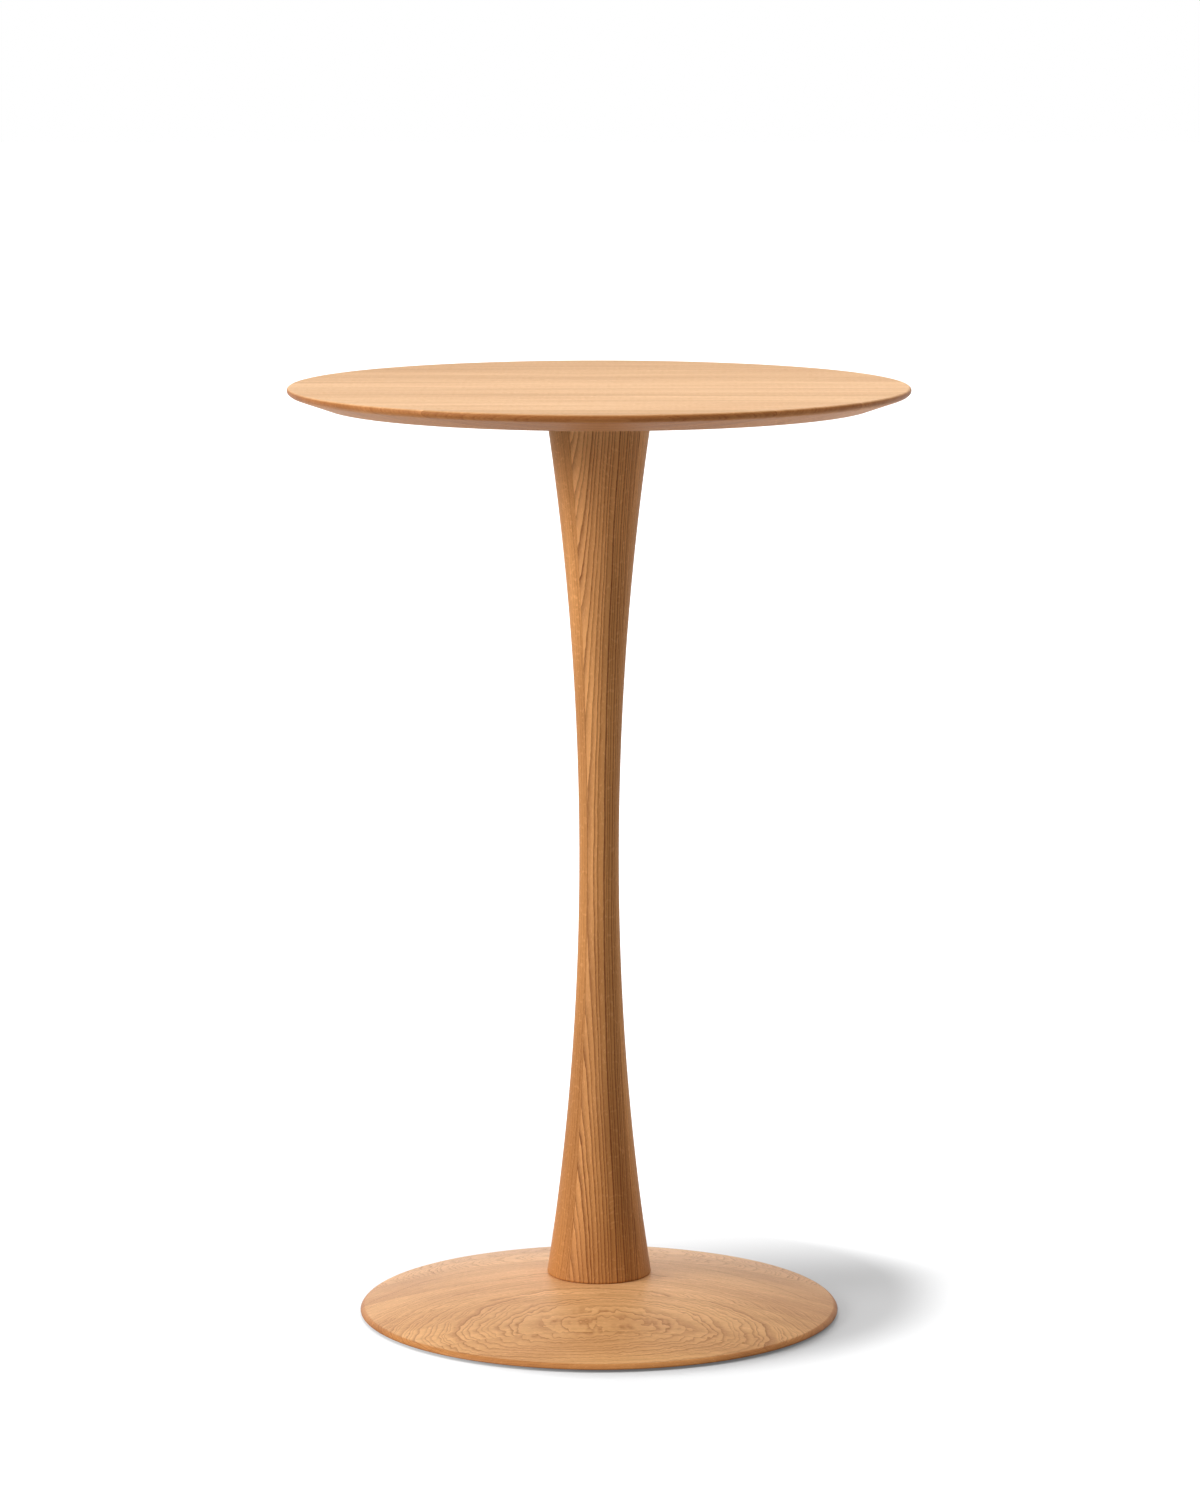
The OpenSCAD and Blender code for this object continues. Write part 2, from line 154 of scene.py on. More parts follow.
# %% Light the studio
SKY = 1.1
KEY = 0.73
OVERHEAD = 0.20
FLOOR_SHADOW = 0.95
BACKDROP = 1.5
WINDOW = 0.12


def lamp(name, azimuth, elevation, spread, level):
    """A distant lamp. Azimuth 0 is the camera's side and 90 its right, and spread is its width.

    Level 1 lights a white surface that faces the lamp to full white.
    """
    made = bpy.data.objects.new(name, bpy.data.lights.new(name, "SUN"))
    made.data.energy = level * math.pi
    made.data.angle = math.radians(spread)
    a, e = math.radians(azimuth), math.radians(elevation)
    towards = Vector((math.sin(a) * math.cos(e), -math.cos(a) * math.cos(e), math.sin(e)))
    made.rotation_euler = towards.to_track_quat("Z", "Y").to_euler()
    bpy.context.scene.collection.objects.link(made)
    return made


lamp("key", azimuth=-65, elevation=18, spread=22, level=KEY)
lamp("overhead", azimuth=-60, elevation=86, spread=10, level=OVERHEAD)
soft_box = lamp("soft box", azimuth=-20, elevation=85.3, spread=4.2, level=FLOOR_SHADOW)
backdrop = lamp("backdrop", azimuth=180, elevation=14, spread=24, level=BACKDROP)
window = lamp("window", azimuth=-168, elevation=17, spread=40, level=WINDOW)

world = bpy.data.worlds.new("studio")
bpy.context.scene.world = world
world.use_nodes = True
air = world.node_tree
air.nodes.clear()
height = parts(air, add(air, "TexCoord"))[2]
ceiling = maths(air, "MULTIPLY", maths(air, "MAXIMUM", height, 0.0), SKY)
white = add(air, "Background", {"Color": (1, 1, 1, 1), "Strength": 1.0})
soft = add(air, "Background", {"Color": (1, 1, 1, 1), "Strength": ceiling})
add(air, "OutputWorld", {0: add(air, "MixShader", {0: seen(air), 1: soft, 2: white})})

# %% [markdown]
# ## Floor
# A floor lit to white by every lamp would lose the shadow. So it is painted grey where the eye
# looks, its own two lamps bring it up to white, and the shadow stays where they don't reach. It
# glows a little more at some distance from the foot's right side, since the shadow runs out into
# white there. Where light only bounces, the paint is dark, so the floor sends little light up.

# %% Lay the floor
FLOOR_HALF = 30
FLOOR_SEEN = (0.40, 0.403, 0.406, 1)
FLOOR_LIFT = 0.12
FLOOR_BOUNCE = (0.18, 0.18, 0.18, 1)
# A painted glow on the floor: its own light rises with distance from a point right of and in front
# of the foot, and this whitens the shadow further out
PAINTED_GLOW_FROM = (0.33, -0.17, 0)
PAINTED_GLOW_REACH = (0.33, 0.62)
PAINTED_GLOW_LIFT = 0.55

ground = bpy.data.meshes.new("floor")
corners = [(x * FLOOR_HALF, y * FLOOR_HALF, 0) for x, y in ((-1, -1), (1, -1), (1, 1), (-1, 1))]
ground.from_pydata(corners, [], [(0, 1, 2, 3)])
floor = bpy.data.objects.new("floor", ground)
bpy.context.scene.collection.objects.link(floor)

paint = bpy.data.materials.new("floor paint")
paint.use_nodes = True
coat = paint.node_tree
coat.nodes.clear()
# Painted glow that grows with the distance from that point
spot = add(coat, "TexCoord", outlet="Object")
away = add(coat, "VectorMath", {0: spot, 1: PAINTED_GLOW_FROM}, outlet="Value", operation="DISTANCE")
painted_glow = add(
    coat, "MapRange", {0: away, 1: PAINTED_GLOW_REACH[0], 2: PAINTED_GLOW_REACH[1], 3: FLOOR_LIFT, 4: PAINTED_GLOW_LIFT},
    interpolation_type="SMOOTHSTEP",
)
shown = add(coat, "AddShader", {
    0: add(coat, "BsdfDiffuse", {"Color": FLOOR_SEEN}),
    1: add(coat, "Emission", {"Color": (1, 1, 1, 1), "Strength": painted_glow}),
})
bounced = add(coat, "BsdfDiffuse", {"Color": FLOOR_BOUNCE})
add(coat, "OutputMaterial", {0: add(coat, "MixShader", {0: seen(coat), 1: bounced, 2: shown})})
ground.materials.append(paint)
floor_alone = bpy.data.collections.new("lit by the floor lamps")
floor_alone.objects.link(floor)
for made in (soft_box, backdrop):
    made.light_linking.receiver_collection = floor_alone
# The boards join this collection when they are made
foot_alone = bpy.data.collections.new("the boards of the foot")
backdrop.light_linking.blocker_collection = foot_alone
window.light_linking.receiver_collection = foot_alone
print("Floor", 2 * FLOOR_HALF, "m square")

# %% [markdown]
# ## Turning
# Everything round in this table came off a lathe. A lathe needs one outline, half of the piece's
# section, and turns it about the axis. A screw modifier would do that too, but a function of our
# own can also turn a quarter, for a stave, and vary the radius with the angle, for a hexagon or a
# screw thread.

# %% Turn an outline
ON_AXIS = 1e-7


def arc(x, z, r, start, end, steps):
    """Points of an arc about (x, z), with its angles in degrees."""
    turns = [math.radians(start + (end - start) * i / steps) for i in range(steps + 1)]
    return [(x + r * math.cos(t), z + r * math.sin(t)) for t in turns]


def turn(outline, segments, first=0.0, sweep=360.0, shape=None):
    """Turn a closed outline of (radius, height) about Z. shape(r, z, angle) may change a radius."""
    solid = bmesh.new()
    whole = sweep == 360.0
    count = segments if whole else segments + 1
    angles = [math.radians(first + sweep * k / segments) for k in range(count)]
    rings = []
    for r, z in outline:
        if r < ON_AXIS:
            rings.append([solid.verts.new((0, 0, z))] * count)
            continue
        radii = [shape(r, z, a) if shape else r for a in angles]
        ring = [(q * math.cos(a), q * math.sin(a), z) for q, a in zip(radii, angles)]
        rings.append([solid.verts.new(place) for place in ring])
    for ring, above in zip(rings, rings[1:] + rings[:1]):
        for k in range(segments):
            n = (k + 1) % count
            face = list(dict.fromkeys((ring[k], ring[n], above[n], above[k])))
            if len(face) > 2:
                solid.faces.new(face)
    if not whole:
        ends = [solid.faces.new([ring[k] for ring in rings]) for k in (0, -1)]
        for end in ends:
            end.normal_update()
        bmesh.ops.triangulate(solid, faces=ends, ngon_method="EAR_CLIP")
    bmesh.ops.recalc_face_normals(solid, faces=solid.faces)
    return solid


def braced(outline, brace=1 * MM, span=30 * MM):
    """Add points to long straight stretches, first near their ends, so that shading stays smooth."""
    points = []
    for (r, z), (r2, z2) in zip(outline, outline[1:] + outline[:1]):
        points.append((r, z))
        length = math.hypot(r2 - r, z2 - z)
        if length < 4 * brace or r + r2 < ON_AXIS:
            continue
        steps = math.ceil(length / span)
        shares = [i / steps for i in range(1, steps)]
        for share in [brace / length, *shares, 1 - brace / length]:
            points.append((r + (r2 - r) * share, z + (z2 - z) * share))
    return points


# %% [markdown]
# A turned disc becomes boards by cutting it along its joint lines. A joiner works the other way
# round, and glues the boards before turning them, but cuts make the faces of a joint meet exactly.
# Holes are drilled with a Boolean modifier, whose result is applied at once. Each is placed by the
# fitting that sits in it: an insert, a pin, a dowel or a screw of the frame.

# %% Make, cut and drill pieces
SHARP_EDGE = 32
SAME_PLACE = 1e-6
HOLE_SEGMENTS = 64
HOLE_SPARE = 0.5 * MM
HOLE_MOUTH = 1 * MM


def piece(name, solid, stands_for, body="table"):
    """Turn a working mesh into a piece that rides on its body and stands for a frame node."""
    mesh = bpy.data.meshes.new(name)
    solid.to_mesh(mesh)
    solid.free()
    made = bpy.data.objects.new(name, mesh)
    bpy.context.scene.collection.objects.link(made)
    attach(made, body)
    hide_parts(stands_for)
    return made


def smooth(made):
    """Shade the bends smoothly and keep the true edges."""
    made.data.shade_smooth()
    made.data.set_sharp_from_angle(angle=math.radians(SHARP_EDGE))


def between(disc, front, back):
    """The part of a turned disc between two planes across Y. None means the rim."""
    board = disc.copy()
    for place, side in ((front, -1), (back, 1)):
        if place is None:
            continue
        everything = [*board.verts, *board.edges, *board.faces]
        bmesh.ops.bisect_plane(
            board, geom=everything, plane_co=(0, place, 0), plane_no=(0, side, 0), clear_outer=True
        )
        rim = [edge for edge in board.edges if edge.is_boundary]
        face = bmesh.ops.contextual_create(board, geom=rim)["faces"]
        bmesh.ops.triangulate(board, faces=face, ngon_method="EAR_CLIP")
    bmesh.ops.recalc_face_normals(board, faces=board.faces)
    return board


def drill(made, holes):
    """Drill upright holes, each given as (x, y, radius, low, high), that lie within the piece."""
    low, high = (Vector(corner[:]) for corner in (made.bound_box[0], made.bound_box[6]))
    bits = bmesh.new()
    for x, y, r, bottom, top in holes:
        if not (low.x < x < high.x and low.y < y < high.y):
            continue
        bit = turn([(0, bottom), (r, bottom), (r, top), (0, top)], HOLE_SEGMENTS)
        bmesh.ops.translate(bit, verts=bit.verts, vec=(x, y, 0))
        loose = bpy.data.meshes.new("bit")
        bit.to_mesh(loose)
        bit.free()
        bits.from_mesh(loose)
        bpy.data.meshes.remove(loose)
    if bits.faces:
        tool = bpy.data.objects.new("bits", bpy.data.meshes.new("bits"))
        bits.to_mesh(tool.data)
        bpy.context.scene.collection.objects.link(tool)
        cut = made.modifiers.new("holes", "BOOLEAN")
        cut.object = tool
        cut.solver = "EXACT"
        view = bpy.context.evaluated_depsgraph_get()
        drilled = bpy.data.meshes.new_from_object(made.evaluated_get(view))
        made.modifiers.clear()
        made.data = drilled
        bpy.data.objects.remove(tool)
    bits.free()


def solid_centres(node):
    """Centre and half-width of each solid of a node, such as each screw of a set, from the left."""
    work = bmesh.new()
    work.from_mesh(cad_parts[node].data)
    bmesh.ops.remove_doubles(work, verts=work.verts, dist=SAME_PLACE)
    found = []
    waiting = set(work.verts)
    while waiting:
        island = []
        front = [waiting.pop()]
        while front:
            corner = front.pop()
            island.append(corner.co.copy())
            for edge in corner.link_edges:
                other = edge.other_vert(corner)
                if other in waiting:
                    waiting.remove(other)
                    front.append(other)
        low = Vector(map(min, zip(*island)))
        high = Vector(map(max, zip(*island)))
        found.append(((low + high) / 2, (high - low) / 2))
    work.free()
    return sorted(found, key=lambda solid: tuple(solid[0]))


def hole_for(centre, half, radius, mouth=HOLE_SPARE):
    """A hole round a fitting, longer than it by a little above and by its mouth below."""
    low, high = centre.z - half.z - mouth, centre.z + half.z + HOLE_SPARE
    return (centre.x, centre.y, radius, low, high)


# %% [markdown]
# ## Where the wood comes from
# Oak shows its yearly rings wherever a surface cuts them, so the pattern of a board follows from
# its place in the log: a board cut beside the pith has straight lines, and one cut under it has
# nested arches. Painting lines on a surface can't do that round a bend. Instead, each corner of a
# wooden mesh stores its place in its own log, as millimetres along the log and in two directions
# across it from the pith. The material then works the rings out in three dimensions, and they run
# truly over every edge, face and end.

# %% Store each corner's place in its log
# In millimetres, like all that is stored: the step along the trunk from one log to the next, so
# that no two pieces share their noise, and the distance of a joint that isn't there
LOG_APART = 1370.0
NO_JOINT = 1000.0


def grow(made, log, joints, year, tone, figure, light_by_height=None):
    """Store the place in the log, the distance from both joints, and the board's tones and
    character.

    tone is a list of tones from one joint to the other, with painted shade for the front stave. The
    last argument gives heights, and the painted light and shade there, which scale the tones.
    """
    corners = np.empty(3 * len(made.data.vertices))
    made.data.vertices.foreach_get("co", corners)
    corners = corners.reshape(-1, 3) / MM
    split = joints(corners)
    tones = np.interp(split[:, 2], np.linspace(0, 1, len(tone)), tone)
    if light_by_height:
        tones = tones * np.interp(corners[:, 2], *light_by_height)
    facts = {
        "log": log(corners),
        "joint": split,
        "board": np.column_stack((np.full_like(tones, year), tones, np.full_like(tones, figure))),
    }
    for name, values in facts.items():
        store = made.data.attributes.new(name, "FLOAT_VECTOR", "POINT")
        store.data.foreach_set("vector", values.ravel())


def lying_log(pith_y, pith_z, drift, number, dip=0.0):
    """A log that lies along X, with its pith at a place across it, in millimetres."""
    shift = LOG_APART * number

    def place(p):
        x, y, z = p.T
        return np.column_stack((x + shift, y - pith_y - drift * x, z - pith_z - dip * x))

    return place


def standing_log(pith_turn, pith_r, drift, number):
    """A log that stands along Z, with its pith at an angle and distance from the table's axis."""
    shift = LOG_APART * number
    away = math.radians(pith_turn)
    pith = (pith_r * math.cos(away), pith_r * math.sin(away))

    def place(p):
        x, y, z = p.T
        return np.column_stack((z + shift, x - pith[0] - drift * z, y - pith[1]))

    return place


def board_joints(front, back):
    """Distances from the joints in front and behind, where there are any, and the share between."""

    def distance(p):
        y = p[:, 1]
        ahead = np.full_like(y, NO_JOINT) if front is None else y - front / MM
        behind = np.full_like(y, NO_JOINT) if back is None else back / MM - y
        return np.column_stack((ahead, behind, (y - y.min()) / np.ptp(y)))

    return distance


# %% [markdown]
# ## Top
# The top is nine boards, chosen for quiet, straight grain: their pith lies well to the side. Its
# upper edge is rounded, and a soft nose leads into a bevel that makes the rim look thin. The front
# board and the last two are darker than the rest, and the tones fall gently towards the back.

# %% Turn the top and cut it into boards
TOP_ARRIS = 3 * MM
TOP_BAND = 0.5 * MM
TOP_NOSE = 4 * MM
TOP_CHEEK = 10 * MM
# In degrees: where the nose hands over to the cheek, and the slope of the bevel
TOP_HANDOVER = 42
TOP_BEVEL = 19
TOP_SEGMENTS = 384
TOP_ARRIS_STEPS = 10
NOSE_STEPS = 6
CHEEK_STEPS = 8

# Each board: where its pith lies, in front of or behind the board and below it, the drift of the
# grain over the length, the width of a year's ring, the tone at its front and at its back, and the
# strength of its figure
TOP_BOARDS = [
    (-150, -120, 0.004, 3.1, (0.88, 0.89), 0.8),
    (170, -90, -0.003, 2.6, (1.09, 1.05), 0.9),
    (-190, -60, 0.005, 3.3, (1.08, 1.06), 0.8),
    (140, -140, -0.006, 2.8, (1.00, 1.04), 1.1),
    (-160, -100, 0.003, 3.4, (1.06, 1.05), 0.8),
    (210, -70, 0.006, 2.7, (1.00, 0.96), 1.1),
    (-140, -130, -0.004, 3.2, (0.99, 0.96), 0.9),
    (180, -80, 0.005, 2.8, (0.93, 0.91), 1.0),
    (-170, -110, -0.005, 3.3, (0.89, 0.86), 0.9),
]


def top_outline():
    """The section of the top, from its underside out to the nose and back over the face."""
    turned = math.radians(TOP_HANDOVER)
    nose_x, nose_z = TOP_R - TOP_NOSE, TABLE_H - TOP_ARRIS - TOP_BAND
    nose = arc(nose_x, nose_z, TOP_NOSE, -TOP_HANDOVER, 0, NOSE_STEPS)
    cheek_x = nose_x - (TOP_CHEEK - TOP_NOSE) * math.cos(turned)
    cheek_z = nose_z + (TOP_CHEEK - TOP_NOSE) * math.sin(turned)
    cheek = arc(cheek_x, cheek_z, TOP_CHEEK, TOP_BEVEL - 90, -TOP_HANDOVER, CHEEK_STEPS)
    bevel_run = (cheek[0][1] - TOP_UNDER) / math.tan(math.radians(TOP_BEVEL))
    arris = arc(TOP_R - TOP_ARRIS, TABLE_H - TOP_ARRIS, TOP_ARRIS, 0, 90, TOP_ARRIS_STEPS)
    rim = [*cheek, *nose[1:], *arris]
    return [(0, TOP_UNDER), (cheek[0][0] - bevel_run, TOP_UNDER), *rim, (0, TABLE_H)]


top_disc = turn(braced(top_outline()), TOP_SEGMENTS)
insert_holes = [hole_for(c, h, h.y, HOLE_MOUTH) for c, h in solid_centres("top_inserts")]
top_boards = []
edges = [None, *TOP_JOINTS, None]
for i, (pith_y, pith_z, drift, year, tone, figure) in enumerate(TOP_BOARDS):
    front, back = edges[i], edges[i + 1]
    node = f"top_board_{i + 1}"
    board = piece(f"oak_{node}", between(top_disc, front, back), node)
    drill(board, insert_holes)
    smooth(board)
    middle = sum(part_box(node), Vector()).y / 2 / MM
    log = lying_log(middle + pith_y, TABLE_H / MM + pith_z, drift, i)
    grow(board, log, board_joints(front, back), year, tone, figure)
    top_boards.append(board)
top_disc.free()
print("Top:", len(top_boards), "boards,", sum(len(b.data.polygons) for b in top_boards), "faces")

# %% [markdown]
# ## Column
# Four staves are glued with their joint planes through the axis and then turned to an hourglass.
# The sides are parts of two large circles that meet upright at the waist. Each stave comes from its
# own log, so the pattern changes at each joint: the front one has arches at the left that turn into
# straight lines at the right, and the left one shows the light flecks of quartered oak. The staves
# also carry painted light and shade: the front one goes from light at its left to a painted dark
# band near its right side, lighter again at its right edge, and all are painted darker down and
# lighter just under the top.

# %% Turn the staves
WAIST_R = 22.3 * MM
WAIST_Z = 522 * MM
COLUMN_TOP_R = 59.5 * MM
COLUMN_FOOT_R = 59 * MM
COLUMN_FOOT_ARRIS = 2.5 * MM
COLUMN_HEAD_ARRIS = 1 * MM
COLUMN_BORE = 7 * MM
HUB_CLEAR = 1 * MM
PIN_CLEAR = 0.05 * MM
COLUMN_STEPS = 64
COLUMN_FOOT_STEPS = 8
COLUMN_HEAD_STEPS = 5
STAVE_SEGMENTS = 56
STAVE_SWEEP = 90
FIRST_JOINT = -126
FIRST_STAVE_LOG = 20

# Each stave: the direction and distance of its pith from the axis, the drift of the grain over its
# height, the width of a year's ring, the tones from its first joint to its last, and the strength
# of its figure. The front stave's tones are painted light and shade: light at its left, a dark band
# near its right side, and lighter again at its right edge
STAVES = {
    "front": (220, 190, 0.004, 3.6, (1.12, 1.06, 0.98, 0.86, 0.98), 1.0),
    "right": (20, 170, -0.003, 2.4, (1.06, 1.05), 0.5),
    "back": (130, 120, 0.004, 3.0, (1.02, 0.96), 0.9),
    "left": (140, 160, 0.003, 2.2, (0.92, 0.88), 0.4),
}
# Heights above the floor in millimetres, and the painted light and shade there: darker towards the
# floor and lightest just under the top, which lifts the top's shade
STAVE_HEIGHTS = (45, 150, 250, 750, 900, 970, 1030)
STAVE_PAINTED_LIGHT = (0.78, 0.86, 0.95, 1.02, 1.12, 1.20, 1.50)


def hollow(z, end_r, end_z):
    """Radius of the hourglass at a height, between the waist and one end."""
    rise = end_z - WAIST_Z
    curve = ((end_r - WAIST_R) ** 2 + rise**2) / (2 * (end_r - WAIST_R))
    return WAIST_R + curve - math.sqrt(curve**2 - (z - WAIST_Z) ** 2)


def column_outline():
    """The section of the column, up its outside and down its bore."""
    hub_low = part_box("top_plate_hub")[0].z - HUB_CLEAR
    hub_r = reach("top_plate_hub") + HUB_CLEAR
    foot_z = BASE_H + COLUMN_FOOT_ARRIS
    head_z = PLATE_UNDER - COLUMN_HEAD_ARRIS
    foot_x = hollow(foot_z, COLUMN_FOOT_R, BASE_H) - COLUMN_FOOT_ARRIS
    head_x = hollow(head_z, COLUMN_TOP_R, PLATE_UNDER) - COLUMN_HEAD_ARRIS
    shares = [i / COLUMN_STEPS for i in range(1, COLUMN_STEPS + 1)]
    lower = [foot_z + (WAIST_Z - foot_z) * s for s in shares]
    upper = [WAIST_Z + (head_z - WAIST_Z) * s for s in shares[:-1]]
    return [
        (COLUMN_BORE, BASE_H),
        *arc(foot_x, foot_z, COLUMN_FOOT_ARRIS, -90, 0, COLUMN_FOOT_STEPS),
        *[(hollow(z, COLUMN_FOOT_R, BASE_H), z) for z in lower],
        *[(hollow(z, COLUMN_TOP_R, PLATE_UNDER), z) for z in upper],
        *arc(head_x, head_z, COLUMN_HEAD_ARRIS, 0, 90, COLUMN_HEAD_STEPS),
        (hub_r, PLATE_UNDER), (hub_r, hub_low), (COLUMN_BORE, hub_low),
    ]


def stave_joints(first):
    """Distances from the two joint planes of a stave whose first plane stands at an angle."""
    a, b = math.radians(first), math.radians(first + STAVE_SWEEP)

    def distance(p):
        x, y, z = p.T
        near = y * math.cos(a) - x * math.sin(a)
        far = x * math.sin(b) - y * math.cos(b)
        return np.column_stack((near, far, np.arctan2(near, far) / math.radians(STAVE_SWEEP)))

    return distance


staves = []
column_line = braced(column_outline())
pin_holes = [
    hole_for(c, h, h.x + PIN_CLEAR)
    for node in ("top_pins", "foot_dowels")
    for c, h in solid_centres(node)
]
for k, (side, (pith_turn, pith_r, drift, year, tone, figure)) in enumerate(STAVES.items()):
    first = FIRST_JOINT + STAVE_SWEEP * k
    node = f"column_stave_{side}"
    solid = turn(column_line, STAVE_SEGMENTS, first, STAVE_SWEEP)
    stave = piece(f"oak_{node}", solid, node)
    if side in ("front", "back"):
        drill(stave, pin_holes)
    smooth(stave)
    log = standing_log(pith_turn, pith_r, drift, FIRST_STAVE_LOG + k)
    # The tones carry painted light and shade: up the column, and across the front stave
    grow(stave, log, stave_joints(first), year, tone, figure, (STAVE_HEIGHTS, STAVE_PAINTED_LIGHT))
    staves.append(stave)
print("Column:", len(staves), "staves,", sum(len(s.data.polygons) for s in staves), "faces")

# %% [markdown]
# ## Foot
# The foot is a disc of seven boards, turned to a shallow dome with a rounded edge. Its boards were
# cut flat from wide logs, so their rings lie almost level, and a dome slices such rings into nested
# ovals: the strongest figure on the table. Wavy grain makes their lines ragged, and each board has
# its own log, so they break at the joints. The dome carries painted light and shade: lighter at its
# crown, under the top, and darker towards the rim. Pockets underneath hold the nut, the ballast and
# the levelling feet.

# %% Turn the foot and cut it into boards
BASE_EDGE_H = 7.4 * MM
BASE_ARRIS = 9 * MM
# The rounding's full circle would reach this far past the rim, but the underside cuts it short
BASE_SWELL = 0.7 * MM
BASE_UNDER = 1 * MM
BASE_SEGMENTS = 384
BASE_ARRIS_STEPS = 10
BASE_UNDER_STEPS = 6
DOME_STEPS = 72
FIRST_FOOT_LOG = 40
NUT_POCKET_R = 42 * MM
BALLAST_CLEAR = 1 * MM
BALLAST_SCREW_R = 2.55 * MM
PAD_CLEAR = 2 * MM

# Each board: where its pith lies across the table and above the foot's seat, the drift of the grain
# sideways and downwards, the width of a year's ring, the tone at its front and at its back, and the
# strength of its figure
BASE_BOARDS = [
    (-235, 260, 0.04, 0.020, 1.35, (1.02, 1.00), 0.9),
    (-240, 360, -0.02, -0.020, 1.35, (0.99, 1.00), 1.0),
    (-215, 400, 0.04, 0.030, 1.45, (1.02, 1.04), 0.9),
    (-140, 360, -0.03, 0.010, 1.4, (1.02, 1.00), 0.9),
    (120, 240, 0.03, -0.020, 1.4, (1.02, 1.05), 0.9),
    (190, 260, -0.02, 0.030, 1.4, (1.05, 1.10), 0.9),
    (260, 220, 0.01, 0.020, 1.5, (1.12, 1.16), 0.8),
]
# Heights above the floor in millimetres, and the painted light and shade there: the dome lighter at
# its crown, under the top, and darker towards the rim
DOME_HEIGHTS = (10, 25, 35, 42)
DOME_PAINTED_LIGHT = (0.82, 0.87, 0.95, 1.03)


def base_outline():
    """The section of the foot, along its stepped underside, round the rim and up the dome."""
    seat_r = COLUMN_FOOT_R
    rise = BASE_H - BASE_EDGE_H
    centre = (BASE_H + BASE_EDGE_H) / 2 - (BASE_R**2 - seat_r**2) / (2 * rise)
    dome_r = math.hypot(seat_r, BASE_H - centre)
    arris_x = BASE_R - BASE_ARRIS + BASE_SWELL
    arris_z = centre + math.sqrt((dome_r - BASE_ARRIS) ** 2 - arris_x**2)
    arris_end = math.degrees(math.atan2(arris_z - centre, arris_x))
    under_z = FLOOR_GAP + BASE_UNDER
    arris_start = math.asin((under_z - arris_z) / (BASE_ARRIS - BASE_UNDER))
    under_x = arris_x + (BASE_ARRIS - BASE_UNDER) * math.cos(arris_start)
    arris_start = math.degrees(arris_start)
    seat_end = math.degrees(math.acos(seat_r / dome_r))
    nut_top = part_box("clamp_washer")[1].z
    ballast_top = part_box("ballast_plate")[1].z
    pocket_r = reach("ballast_plate") + BALLAST_CLEAR
    return [
        (COLUMN_BORE, nut_top), (NUT_POCKET_R, nut_top), (NUT_POCKET_R, ballast_top),
        (pocket_r, ballast_top), (pocket_r, FLOOR_GAP),
        *arc(under_x, under_z, BASE_UNDER, -90, arris_start, BASE_UNDER_STEPS),
        *arc(arris_x, arris_z, BASE_ARRIS, arris_start, arris_end, BASE_ARRIS_STEPS)[1:],
        *arc(0, centre, dome_r, arris_end, seat_end, DOME_STEPS)[1:],
        (COLUMN_BORE, BASE_H),
    ]


base_disc = turn(braced(base_outline()), BASE_SEGMENTS)
foot_holes = []
for c, h in solid_centres("foot_inserts"):
    recess_r = (reach("leveller_pad_front_left") - c.xy.length) + PAD_CLEAR
    foot_holes.append((c.x, c.y, recess_r, -HOLE_MOUTH, c.z - h.z))
    foot_holes.append(hole_for(c, h, h.x, HOLE_MOUTH))
for c, h in solid_centres("ballast_screws"):
    foot_holes.append(hole_for(c, h, BALLAST_SCREW_R, HOLE_MOUTH))
for c, h in solid_centres("foot_dowels"):
    foot_holes.append(hole_for(c, h, h.x + PIN_CLEAR))

base_boards = []
edges = [None, *BASE_JOINTS, None]
for i, (pith_y, pith_z, drift, dip, year, tone, figure) in enumerate(BASE_BOARDS):
    front, back = edges[i], edges[i + 1]
    node = f"base_board_{i + 1}"
    board = piece(f"oak_{node}", between(base_disc, front, back), node)
    # One at a time, since a levelling foot's recess and its insert's hole overlap
    for hole in foot_holes:
        drill(board, [hole])
    smooth(board)
    log = lying_log(pith_y, BASE_H / MM + pith_z, drift, FIRST_FOOT_LOG + i, dip)
    # The tones carry painted light and shade up the dome
    grow(board, log, board_joints(front, back), year, tone, figure, (DOME_HEIGHTS, DOME_PAINTED_LIGHT))
    foot_alone.objects.link(board)
    base_boards.append(board)
base_disc.free()
print("Foot:", len(base_boards), "boards,", sum(len(b.data.polygons) for b in base_boards), "faces")

# %% [markdown]
# ## Threaded steel
# A long rod ties the plate under the top to a nut under the foot, and four levelling feet screw
# into the foot from below. Seen from underneath they show real threads, which a bump can't give: a
# bump leaves the outline smooth. A screw modifier could wind a thread too, but it leaves the ends
# open. Here the same turning function does it, with a radius that depends on the angle as well: a
# groove that climbs by one pitch in each turn.

# %% Cut threads and turn a hexagon
THREAD_RINGS = 8
THREAD_SEGMENTS = 48
CREST_SHARE = 0.12
# Depth of a metric thread as a share of its pitch
THREAD_DEPTH = 0.6134


def thread(major, pitch, low, high):
    """A shape for turn() that cuts a right-handed groove between two heights."""

    def cut(r, z, angle):
        if not low < z < high:
            return r
        phase = (z / pitch - angle / math.tau) % 1
        flank = max(0.0, min(phase, 1 - phase) - CREST_SHARE / 2) / (0.5 - CREST_SHARE / 2)
        run_out = min(1.0, (high - z) / pitch, (z - low) / pitch)
        return min(r, major - THREAD_DEPTH * pitch * flank * run_out)

    return cut


def thread_line(r, pitch, low, high):
    """Points up a threaded length, close enough together to show the groove."""
    steps = math.ceil((high - low) / pitch * THREAD_RINGS)
    return [(r, low + (high - low) * i / steps) for i in range(steps + 1)]


def hexagon(across_flats, angle):
    """Radius of a hexagon at an angle, with a corner at angle 0."""
    return across_flats / 2 / math.cos(angle % (math.pi / 3) - math.pi / 6)


# %% Make the tie rod
ROD_PITCH = 1.75 * MM
ROD_THREAD_FOOT = 70 * MM
ROD_THREAD_HEAD = 45 * MM
ROD_CHAMFER = 1.2 * MM

